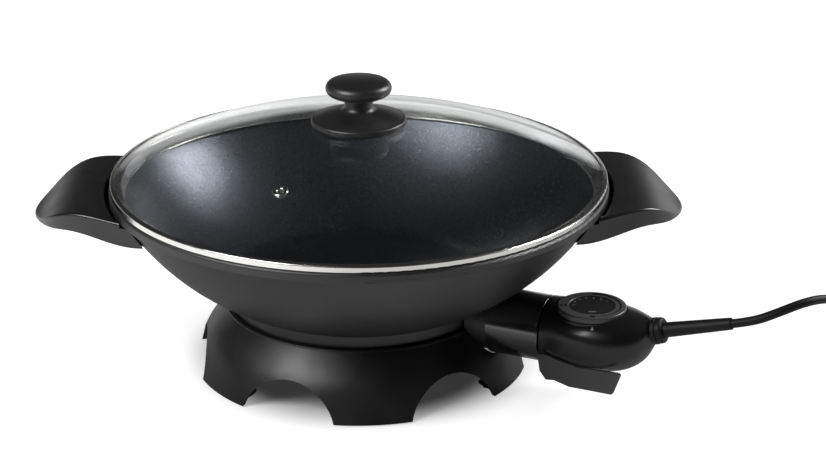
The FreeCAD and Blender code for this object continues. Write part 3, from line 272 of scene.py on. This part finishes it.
def span(tree, value, start, end, low, high, kind="LINEAR"):
    """From low to high as value goes from start to end, and held at both ends: a straight ramp, or
    with SMOOTHSTEP a soft one, 3 t squared minus 2 t cubed of the way."""
    ramp = tree.nodes.new("ShaderNodeMapRange")
    ramp.interpolation_type = kind
    for socket, number in zip(("From Min", "From Max", "To Min", "To Max"), (start, end, low, high)):
        ramp.inputs[socket].default_value = number
    tree.links.new(value, ramp.inputs["Value"])
    return ramp.outputs["Result"]


def relief(tree, shader, height, bump):
    """Lets a texture raise the surface by up to bump millimetres."""
    raised = tree.nodes.new("ShaderNodeBump")
    raised.inputs["Distance"].default_value = bump * MM
    tree.links.new(height, raised.inputs["Height"])
    tree.links.new(raised.outputs["Normal"], shader.inputs["Normal"])


def grey(tone):
    """A colour with no hue: the same value three times."""
    return (tone, tone, tone)


print("a grain of 0.5 mm is a noise scale of", round(1 / (0.5 * MM)))

# %% A finish with grain
FINE_SHARE = 0.4
TONE_FROM, TONE_TO = 0.45, 0.95


def finish(name, dark, light, rough, grain, patch, bump, shine=0.5, metallic=0.0, coat=0.0):
    """One tone, 0.4 of a fine noise plus a soft one, steers both the colour, from dark to light, and
    the roughness, from the first of rough to the second. The fine noise raises the surface as well.
    grain and patch are the sizes of the two noises in millimetres, bump the height in millimetres."""
    material, tree, shader = bare_surface(name, metallic, shine, coat)
    fine = noise(tree, grain, FINE_DETAIL)
    tone = tree.nodes.new("ShaderNodeMath")
    tone.operation = "MULTIPLY_ADD"
    tone.inputs[1].default_value = FINE_SHARE
    tree.links.new(fine, tone.inputs[0])
    tree.links.new(noise(tree, patch, SOFT_DETAIL), tone.inputs[2])
    colours = tree.nodes.new("ShaderNodeValToRGB")
    for stop, place, colour in zip(colours.color_ramp.elements, (TONE_FROM, TONE_TO), (dark, light)):
        stop.position = place
        stop.color = (*colour, 1)
    tree.links.new(tone.outputs[0], colours.inputs["Fac"])
    tree.links.new(colours.outputs["Color"], shader.inputs["Base Color"])
    tree.links.new(span(tree, tone.outputs[0], TONE_FROM, TONE_TO, *rough), shader.inputs["Roughness"])
    relief(tree, shader, fine, bump)
    return material


neck_gloss = finish("guard_plastic", grey(0.006), grey(0.010), (0.16, 0.24), 0.5, 12, 0.004,
                    shine=0.8, coat=1.0)
print("the glossy neck takes", len(neck_gloss.node_tree.nodes), "nodes")

# %% [markdown]
# The inside of the pan has a non-stick coating with metal flakes in it. Each flake catches the light
# at its own angle, so the coating sparkles finely and a lamp spreads into a wide blue-grey glow. More
# noise would only blur that. A Voronoi texture has cells with edges, one to each flake, and gives
# every cell a random colour, whose parts can steer the flake's tone and its roughness.

# %% The flaked coating inside the pan
FLAKE_GRAIN = 0.8
FLAKE_BUMP = 0.02


def flaked_coating(name, dark, light, rough, flake):
    """Metallic cells of the size flake, in millimetres. The random red of a cell picks its colour
    between dark and light, and its random green picks its roughness between the two of rough. A
    noise with a grain of 0.8 of a flake raises the surface by up to 0.02 mm."""
    material, tree, shader = bare_surface(name, metallic=1.0, shine=0.5)
    cells = tree.nodes.new("ShaderNodeTexVoronoi")
    cells.inputs["Scale"].default_value = 1 / (flake * MM)
    place = tree.nodes.new("ShaderNodeTexCoord")
    tree.links.new(place.outputs["Object"], cells.inputs["Vector"])
    pick = tree.nodes.new("ShaderNodeSeparateColor")
    tree.links.new(cells.outputs["Color"], pick.inputs["Color"])
    mix = tree.nodes.new("ShaderNodeMix")
    mix.data_type = "RGBA"
    mix.inputs["A"].default_value = (*dark, 1)
    mix.inputs["B"].default_value = (*light, 1)
    tree.links.new(pick.outputs["Red"], mix.inputs["Factor"])
    tree.links.new(mix.outputs["Result"], shader.inputs["Base Color"])
    tree.links.new(span(tree, pick.outputs["Green"], 0.0, 1.0, *rough), shader.inputs["Roughness"])
    relief(tree, shader, noise(tree, flake * FLAKE_GRAIN, FINE_DETAIL), FLAKE_BUMP)
    return material


flakes = flaked_coating("pan_inside", (0.053, 0.0555, 0.064), (0.104, 0.109, 0.125), (0.27, 0.35), 0.6)
print("the flaked coating takes", len(flakes.node_tree.nodes), "nodes")

# %% [markdown]
# The lid is clear tempered glass, a little green in its depth. Real glass in Cycles casts a shadow as
# if it were solid, unless caustics are traced, which takes very many samples. So the shader hands
# shadow rays to a plain see-through surface of nearly the same tint, and the lamps light the pan
# through the lid. The tint wanders by a hundredth, as on glass that has been wiped.

# %% The clear glass
GLASS_TINTS = [(0.94, 0.962, 0.956, 1), (0.955, 0.973, 0.968, 1)]
GLASS_FOR_LAMPS = (0.87, 0.89, 0.885, 1)
SMUDGES_A_METRE = 18


def clear_glass(name):
    """Glass with an index of 1.5 for all rays but shadow rays, which pass straight through, tinted."""
    material, tree, shader = bare_surface(name, metallic=0.0, shine=0.5)
    shader.inputs["Transmission Weight"].default_value = 1.0
    shader.inputs["Roughness"].default_value = 0.0
    shader.inputs["IOR"].default_value = 1.5
    tint = tree.nodes.new("ShaderNodeValToRGB")
    for stop, colour in zip(tint.color_ramp.elements, GLASS_TINTS):
        stop.color = colour
    smudges = noise(tree, 1 / (SMUDGES_A_METRE * MM), FINE_DETAIL)
    tree.links.new(smudges, tint.inputs["Fac"])
    tree.links.new(tint.outputs["Color"], shader.inputs["Base Color"])
    passing = tree.nodes.new("ShaderNodeBsdfTransparent")
    passing.inputs["Color"].default_value = GLASS_FOR_LAMPS
    mix = tree.nodes.new("ShaderNodeMixShader")
    tree.links.new(tree.nodes.new("ShaderNodeLightPath").outputs["Is Shadow Ray"], mix.inputs["Fac"])
    tree.links.new(shader.outputs["BSDF"], mix.inputs[1])
    tree.links.new(passing.outputs["BSDF"], mix.inputs[2])
    tree.links.new(mix.outputs["Shader"], tree.nodes["Material Output"].inputs["Surface"])
    return material


lid_glass = clear_glass("lid_glass")
print("the glass takes", len(lid_glass.node_tree.nodes), "nodes")

# %% [markdown]
# Nearly everything on a wok like this is black, and what tells the pieces apart is how they shine: a
# matt stand, a satin cast pan, smoother handles, a glossy socket neck, a greyer lever and dial. So
# the blacks differ by only a hundredth or so, and the roughness and the grain do the work. The two
# tables below have one row for each slot of the record, which is shorter than a function for each,
# and lets one look be held against the next.

# %% Plastics, rubbers and the cast pan
BLACK = (0.010, 0.010, 0.011)
SOOT = (0.016, 0.016, 0.017)
# slot: dark, light, roughness, size of the grain, of the patches, height of the grain (mm), shine
MOULDED = {
    "base_plastic": (grey(0.006), grey(0.010), (0.36, 0.46), 0.35, 25, 0.03, 0.5),
    "cast_pan": ((0.012, 0.0117, 0.0117), (0.018, 0.0176, 0.0176), (0.41, 0.51), 0.7, 40, 0.03, 0.8),
    "handle_phenolic": ((0.007, 0.0065, 0.007), (0.011, 0.0105, 0.011), (0.27, 0.35), 0.5, 20, 0.012, 0.7),
    "knob_phenolic": ((0.014, 0.0134, 0.0138), (0.021, 0.0204, 0.0208), (0.34, 0.44), 0.5, 16, 0.015, 0.7),
    "plug_plastic": (grey(0.006), grey(0.010), (0.26, 0.34), 0.4, 18, 0.01, 0.5),
    "dial_grey": ((0.070, 0.073, 0.072), (0.088, 0.091, 0.090), (0.32, 0.40), 0.4, 12, 0.01, 0.5),
    "dial_dark": (grey(0.004), grey(0.007), (0.30, 0.38), 0.4, 10, 0.002, 0.3),
    "lever_grey": ((0.056, 0.054, 0.057), (0.072, 0.070, 0.073), (0.45, 0.55), 0.45, 18, 0.025, 0.5),
    "cord_plastic": ((0.007, 0.007, 0.0075), (0.011, 0.011, 0.0115), (0.48, 0.58), 0.4, 14, 0.01, 0.25),
    "cord_sheath": ((0.006, 0.006, 0.0065), (0.010, 0.010, 0.0105), (0.50, 0.60), 0.5, 20, 0.015, 0.25),
    "contact_ceramic": ((0.10, 0.09, 0.08), (0.16, 0.14, 0.12), (0.55, 0.7), 0.5, 10, 0.03, 0.5),
    "switch_ceramic": ((0.66, 0.63, 0.57), (0.78, 0.75, 0.7), (0.5, 0.65), 0.4, 8, 0.02, 0.5),
    "rubber": (BLACK, SOOT, (0.7, 0.85), 0.6, 9, 0.05, 0.5),
    "silicone": (BLACK, SOOT, (0.6, 0.75), 0.5, 10, 0.02, 0.5),
}
finishes = {slot: finish(slot, *look) for slot, look in MOULDED.items()}
finishes["guard_plastic"] = neck_gloss
finishes["lid_glass"] = lid_glass
print(len(finishes), "finishes so far")

# %% Metals
# slot: dark, light, roughness, size of the grain, of the patches, height of the grain (mm)
METALS = {
    "lid_steel": ((0.76, 0.75, 0.72), (0.86, 0.85, 0.83), (0.18, 0.25), 0.8, 15, 0.0),
    "zinc_steel": ((0.45, 0.44, 0.41), (0.62, 0.61, 0.58), (0.25, 0.42), 0.3, 3, 0.01),
    "element_sheath": ((0.16, 0.14, 0.12), (0.33, 0.31, 0.29), (0.35, 0.55), 0.5, 12, 0.02),
    "nickel_pin": ((0.60, 0.58, 0.53), (0.74, 0.72, 0.68), (0.14, 0.24), 0.2, 4, 0.005),
    "brass": ((0.62, 0.45, 0.2), (0.8, 0.62, 0.32), (0.22, 0.34), 0.3, 5, 0.005),
    "probe_steel": ((0.52, 0.51, 0.5), (0.66, 0.65, 0.64), (0.2, 0.34), 0.3, 8, 0.005),
    "bimetal": ((0.5, 0.44, 0.4), (0.62, 0.57, 0.52), (0.28, 0.4), 0.3, 6, 0.005),
    "bracket_steel": (grey(0.5), (0.62, 0.62, 0.61), (0.28, 0.42), 0.3, 6, 0.005),
    "shaft_steel": (grey(0.5), (0.62, 0.62, 0.61), (0.25, 0.4), 0.3, 6, 0.005),
    "pin_steel": (grey(0.45), (0.58, 0.58, 0.57), (0.28, 0.4), 0.3, 6, 0.005),
}
for slot, look in METALS.items():
    finishes[slot] = finish(slot, *look, metallic=1.0)
print(len(METALS), "metals,", len(finishes), "finishes in all")

# %% [markdown]
# ## Dressing the pieces
#
# Each CAD piece names its finish in the record, so dressing them is one loop. Only the pan needs two:
# its faces that look up or inwards from inside the bowl get the flaked coating. The bowl widens
# upwards, so every inside face looks up a little and every outside one looks down. That sorts the
# faces by their normals alone, without cutting the mesh.

# %% Dress the CAD pieces
slot_of = {part["node"]: part["material_slot"] for part in frame["record"]["subparts"]}
for name, thing in nodes.items():
    thing.data.materials.clear()
    thing.data.materials.append(finishes[slot_of[name]])
mains_cord.data.materials.append(finishes["cord_sheath"])
print(len(slot_of), "pieces dressed")

# %% The coating on the inside of the pan
LOOKS_UP = 0.02
COATED_RADIUS = 176 * MM
UNDER_PAN_FLOOR = 58 * MM
pan = nodes["pan_bowl"].data
pan.materials.append(flakes)
count = len(pan.polygons)
centre = np.empty(count * 3)
normal = np.empty(count * 3)
pan.polygons.foreach_get("center", centre)
pan.polygons.foreach_get("normal", normal)
x, y, z = centre.reshape(-1, 3).T
inside = (normal[2::3] > LOOKS_UP) & (np.hypot(x, y) < COATED_RADIUS) & (z > UNDER_PAN_FLOOR)
pan.polygons.foreach_set("material_index", inside.astype(np.int32))
print("inside of the pan:", int(inside.sum()), "of", count, "faces")

# %% [markdown]
# ## What is printed on the dial
#
# The disc carries plain numbers, 1 to 7, and MIN where the heat is lowest. The ring round it carries a
# block at MIN and a band that widens with the heat, and the housing a small pointer in front. Turning
# the dial clockwise brings each number upright to the pointer.
#
# Such marks are a film of ink. A pattern in the material could draw them, but its edges would blur in
# a close view. Here every mark is real: a flat outline with a height of 0.06 mm, made a mesh before
# it is put in its place, and riding on the piece that carries it.

# %% Flat outlines
INK = 0.06 * MM


def letters(words, size):
    """Words as a flat outline, centred on their own middle."""
    shape = bpy.data.curves.new(words, "FONT")
    shape.body = words
    shape.size = size
    shape.resolution_u = 4
    shape.align_x = "CENTER"
    shape.align_y = "CENTER"
    return shape


def outline(name, corners):
    """A closed outline through a list of (x, y) corners, filled."""
    shape = bpy.data.curves.new(name, "CURVE")
    shape.dimensions = "2D"
    shape.fill_mode = "BOTH"
    edge = shape.splines.new("POLY")
    edge.points.add(len(corners) - 1)
    edge.points.foreach_set("co", [value for x, y in corners for value in (x, y, 0.0, 1.0)])
    edge.use_cyclic_u = True
    return shape


def block(width, depth):
    """A rectangle whose corners lie half its width and half its depth from its middle."""
    right, back = width / 2, depth / 2
    return outline("block", [(-right, -back), (right, -back), (right, back), (-right, back)])


triangle = outline("triangle", [(-1.1 * MM, -1.2 * MM), (1.1 * MM, -1.2 * MM), (0.0, 1.5 * MM)])
print("the pointer's outline has", len(triangle.splines[0].points), "corners")

# %% Printing with two inks
WELD = 0.001 * MM


def ink(name, body, look, marks):
    """Joins marks, each a flat outline and the matrix that puts it in its place, into one printed
    piece that rides on a body. Half of the film's height lies on each side of the outline."""
    film = bmesh.new()
    for shape, place in marks:
        shape.extrude = INK / 2
        pressed = bpy.data.objects.new(name, shape)
        mesh = bpy.data.meshes.new_from_object(pressed)
        mesh.transform(place)
        film.from_mesh(mesh)
        bpy.data.objects.remove(pressed)
    bmesh.ops.remove_doubles(film, verts=film.verts, dist=WELD)
    mesh = bpy.data.meshes.new(name)
    film.to_mesh(mesh)
    film.free()
    mesh.materials.append(look)
    piece = add_object(name, mesh)
    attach(piece, body)
    print(name, len(mesh.polygons), "faces")


white_ink = finish("white_ink", grey(0.50), grey(0.62), (0.5, 0.6), 0.2, 4, 0.0)
black_ink = finish("black_ink", grey(0.002), grey(0.004), (0.5, 0.6), 0.2, 4, 0.0, shine=0.2)
print("inks:", white_ink.name, black_ink.name)

# %% Where the marks go
DIAL = probe_turn @ Vector((182.0, 0.0, 0.0)) * MM
DISC_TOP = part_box("dial_disc")[1][2]
RING_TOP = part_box("dial_ring")[1][2]
POINTER_AT = math.radians(-95)


def on_dial(angle, radius, height):
    """The matrix of a mark: out from the dial's middle by radius at angle, half a film above height,
    and turned by that angle plus a quarter turn. So the foot of a mark points outwards, and it reads
    upright when the dial brings it to the pointer."""
    place = DIAL + Vector((radius * math.cos(angle), radius * math.sin(angle), height + INK / 2))
    return Matrix.Translation(place) @ Matrix.Rotation(angle + math.pi / 2, 4, "Z")


print("disc top", round(DISC_TOP / MM, 2), "mm, ring top", round(RING_TOP / MM, 2), "mm")

# %% Numbers on the disc
MIN_RADIUS = 11.6 * MM
MIN_SIZE = 2.9 * MM
NUMBER_RADIUS = 13.2 * MM
NUMBER_SIZE = 3.0 * MM
ZERO_AT, NUMBER_STEP = math.radians(7), math.radians(24)
numbers = [(letters("MIN", MIN_SIZE), on_dial(POINTER_AT, MIN_RADIUS, DISC_TOP))]
for number in range(1, 8):
    angle = ZERO_AT + NUMBER_STEP * number
    numbers.append((letters(str(number), NUMBER_SIZE), on_dial(angle, NUMBER_RADIUS, DISC_TOP)))
ink("dial_numbers", "dial", white_ink, numbers)

# %% [markdown]
# The band on the ring is a strip along a circle. Its two edges lie at the middle radius minus and plus
# a half width, which is read off a small table of angles and grows from a fine tail to a broad end.
# A block stands on the same circle at MIN, and a barred one close to where the dial's turn ends.

# %% Marks on the ring
BAND_RADIUS = 20.3 * MM
BAND_WIDTHS = [0.22 * MM, 0.75 * MM, 1.6 * MM]  # half widths at its tail, at 0.2 radians, at its end
BAR_AT = math.radians(179)
BAR_REACH = 1.9 * MM
band_angle = np.radians(np.linspace(-92, 84, 45))
half_width = np.interp(band_angle, [band_angle[0], 0.2, band_angle[-1]], BAND_WIDTHS)
edge_radius = np.concatenate([BAND_RADIUS - half_width, (BAND_RADIUS + half_width)[::-1]])
edge_angle = np.concatenate([band_angle, band_angle[::-1]])
band = outline("band", list(zip(edge_radius * np.cos(edge_angle), edge_radius * np.sin(edge_angle))))
ring_marks = [(band, Matrix.Translation(DIAL + Vector((0, 0, RING_TOP + INK / 2)))),
              (block(3.6 * MM, 2.6 * MM), on_dial(POINTER_AT, BAND_RADIUS, RING_TOP)),
              (block(1.3 * MM, 3.4 * MM), on_dial(BAR_AT, BAND_RADIUS, RING_TOP))]
for radius in (BAND_RADIUS - BAR_REACH, BAND_RADIUS + BAR_REACH):
    ring_marks.append((block(4.2 * MM, 1.1 * MM), on_dial(BAR_AT, radius, RING_TOP)))
ink("dial_ring_marks", "dial", black_ink, ring_marks)

# %% [markdown]
# The pointer is a small white triangle on the curved housing, in front of the dial. Its height and its
# slope aren't typed in: a ray straight down onto the housing finds the spot and the way it faces.

# %% The pointer on the housing
POINTER_RADIUS = 27.2 * MM
OVERHEAD = Vector((0, 0, 0.2))
in_front = Vector((math.cos(POINTER_AT), math.sin(POINTER_AT), 0)) * POINTER_RADIUS
shell = nodes["plug_upper_shell"].data
shell_corners = [corner.co for corner in shell.vertices]
skin = BVHTree.FromPolygons(shell_corners, [face.vertices for face in shell.polygons])
spot, facing, _, _ = skin.ray_cast(DIAL + in_front + OVERHEAD, Vector((0, 0, -1)))
lie_flat = facing.to_track_quat("Z", "Y").to_matrix().to_4x4()
pointer_place = Matrix.Translation(spot + facing * INK) @ lie_flat
ink("heat_pointer", "thermostat", white_ink, [(triangle, pointer_place)])
print("pointer at", [round(v, 4) for v in spot], "facing", [round(v, 2) for v in facing])

# %% [markdown]
# ## The studio
#
# Black things are drawn by what they mirror, so the lamps are few and large: one soft lamp high on
# the right, a little behind the wok, and a larger one high at the front left. Each makes one soft
# patch inside the pan and one long light on the stand, the neck and the handles. More lamps would
# light the table better, but every one of them would also show in the pan.

# %% Softboxes
LAMP_TARGET = Vector((0, 0, 0.1))
LAMP_DISTANCE = 1.9


def softbox(name, direction, width, height, watts):
    """A rectangular lamp 1.9 m from the middle of the wok along a direction, turned so that it looks
    back at it."""
    lamp = bpy.data.lights.new(name, "AREA")
    lamp.shape = "RECTANGLE"
    lamp.size = width
    lamp.size_y = height
    lamp.energy = watts
    thing = add_object(name, lamp)
    away = Vector(direction).normalized()
    thing.location = LAMP_TARGET + away * LAMP_DISTANCE
    thing.rotation_euler = away.to_track_quat("Z", "Y").to_euler()
    print(name, "at", [round(v, 2) for v in thing.location], watts, "W")


softbox("right_softbox", (0.83, 0.30, 0.48), 0.62, 0.75, 27)
softbox("left_softbox", (-0.62, -0.45, 0.64), 1.05, 0.78, 29)

# %% [markdown]
# The white of the table and of the room behind it is a glow that only some rays see: the camera's,
# those that come through glass, and, less strongly, those that come off a shiny surface. It lights
# nothing, so the table keeps the wok's shadow. Under the stand the glow fades away: a painted shadow
# where no light from the room would get in, and that leaves the soft dark floor behind the arches.
# Shiny surfaces see it only from a little way out, which is painted shade near the wok in their
# reflections, and brighter on the left, which is painted light from the larger lamp that stands there.

# %% Arithmetic in the table's node tree
def combine(tree, operation, first, second):
    """One step of arithmetic on two sockets or numbers."""
    node = tree.nodes.new("ShaderNodeMath")
    node.operation = operation
    for socket, value in zip(node.inputs, (first, second)):
        if isinstance(value, float):
            socket.default_value = value
        else:
            tree.links.new(value, socket)
    return node.outputs[0]


tree = white_sweep.node_tree
shader = tree.nodes["Principled BSDF"]
shader.inputs["Base Color"].default_value = (*grey(0.62), 1)
shader.inputs["Roughness"].default_value = 0.9
place = tree.nodes.new("ShaderNodeTexCoord").outputs["Object"]
length = tree.nodes.new("ShaderNodeVectorMath")
length.operation = "LENGTH"
tree.links.new(place, length.inputs[0])
from_wok = length.outputs["Value"]
across = tree.nodes.new("ShaderNodeSeparateXYZ")
tree.links.new(place, across.inputs["Vector"])
print("the table's shader starts with", len(tree.nodes), "nodes")

# %% Who sees the table glow, and how brightly
# each fade: from and to, in metres, and how bright the glow is at the one and at the other
# painted shadow: the glow that the camera sees fades to almost nothing under the stand
PAINTED_SHADOW_UNDER_STAND = (0.092, 0.145, 0.04, 1.0)
FAR_OUT = (0.3, 1.2, 0.8, 1.0)
# painted shade and painted light in reflections: the mirrored glow is missing near the wok and stronger on
# the left, under the larger lamp
MIRRORED_PAINTED_SHADE_NEAR_WOK = (0.14, 0.44, 0.0, 1.0)
MIRRORED_PAINTED_LIGHT_LEFT_TO_RIGHT = (-0.40, 0.10, 0.62, 0.18)
path = tree.nodes.new("ShaderNodeLightPath")
in_mirrors = combine(tree, "MULTIPLY", span(tree, from_wok, *MIRRORED_PAINTED_SHADE_NEAR_WOK, "SMOOTHSTEP"),
                     span(tree, across.outputs["X"], *MIRRORED_PAINTED_LIGHT_LEFT_TO_RIGHT, "SMOOTHSTEP"))
in_mirrors = combine(tree, "MULTIPLY", in_mirrors, path.outputs["Is Glossy Ray"])
to_camera = combine(tree, "MAXIMUM", path.outputs["Is Camera Ray"], path.outputs["Is Transmission Ray"])
for fade in (PAINTED_SHADOW_UNDER_STAND, FAR_OUT):
    to_camera = combine(tree, "MULTIPLY", to_camera, span(tree, from_wok, *fade, "SMOOTHSTEP"))
glow = tree.nodes.new("ShaderNodeEmission")
tree.links.new(combine(tree, "ADD", to_camera, in_mirrors), glow.inputs["Strength"])
add = tree.nodes.new("ShaderNodeAddShader")
tree.links.new(shader.outputs["BSDF"], add.inputs[0])
tree.links.new(glow.outputs["Emission"], add.inputs[1])
tree.links.new(add.outputs["Shader"], tree.nodes["Material Output"].inputs["Surface"])
print("the table's shader ends with", len(tree.nodes), "nodes")

# %% [markdown]
# The room is the world. The camera sees it white. Everything else sees a nearly dark room with one low
# white sweep behind the wok, stronger on the right, which draws the bright line on the far side of
# the lid and the light on the right handle. Through the glass the room is white only below the
# horizon, where the table would be, so that no ray brings its light down into the pan.

# %% The room around it
DARK_ROOM = 0.02
# each fade: from and to, as a part of the ray's direction, and how bright the room is there
LOW = (0.07, 0.17, 1.0, 0.0)
BEHIND = (0.35, 0.75, 0.0, 1.0)
LEFT_TO_RIGHT = (-0.40, 0.30, 0.4, 1.1)
BELOW_HORIZON = (0.0, 0.05, 1.0, 0.0)
world = bpy.data.worlds.new("studio")
bpy.context.scene.world = world
world.use_nodes = True
tree = world.node_tree
background = tree.nodes["Background"]
background.inputs["Color"].default_value = (1, 1, 1, 1)
direction = tree.nodes.new("ShaderNodeSeparateXYZ")
tree.links.new(tree.nodes.new("ShaderNodeTexCoord").outputs["Generated"], direction.inputs["Vector"])
sweep = combine(tree, "MULTIPLY", span(tree, direction.outputs["Z"], *LOW, "SMOOTHSTEP"),
                span(tree, direction.outputs["Y"], *BEHIND, "SMOOTHSTEP"))
sweep = combine(tree, "MULTIPLY", sweep, span(tree, direction.outputs["X"], *LEFT_TO_RIGHT, "SMOOTHSTEP"))
path = tree.nodes.new("ShaderNodeLightPath")
through_glass = combine(tree, "MULTIPLY", path.outputs["Is Transmission Ray"],
                        span(tree, direction.outputs["Z"], *BELOW_HORIZON, "SMOOTHSTEP"))
to_camera = combine(tree, "MAXIMUM", path.outputs["Is Camera Ray"], through_glass)
room = combine(tree, "ADD", sweep, DARK_ROOM)
tree.links.new(combine(tree, "MAXIMUM", room, to_camera), background.inputs["Strength"])
print("the room takes", len(tree.nodes), "nodes")

# %% [markdown]
# ## The view
#
# The Standard view shows colours as they are written, which a white background needs.

# %% The view transform
bpy.context.scene.view_settings.view_transform = "Standard"
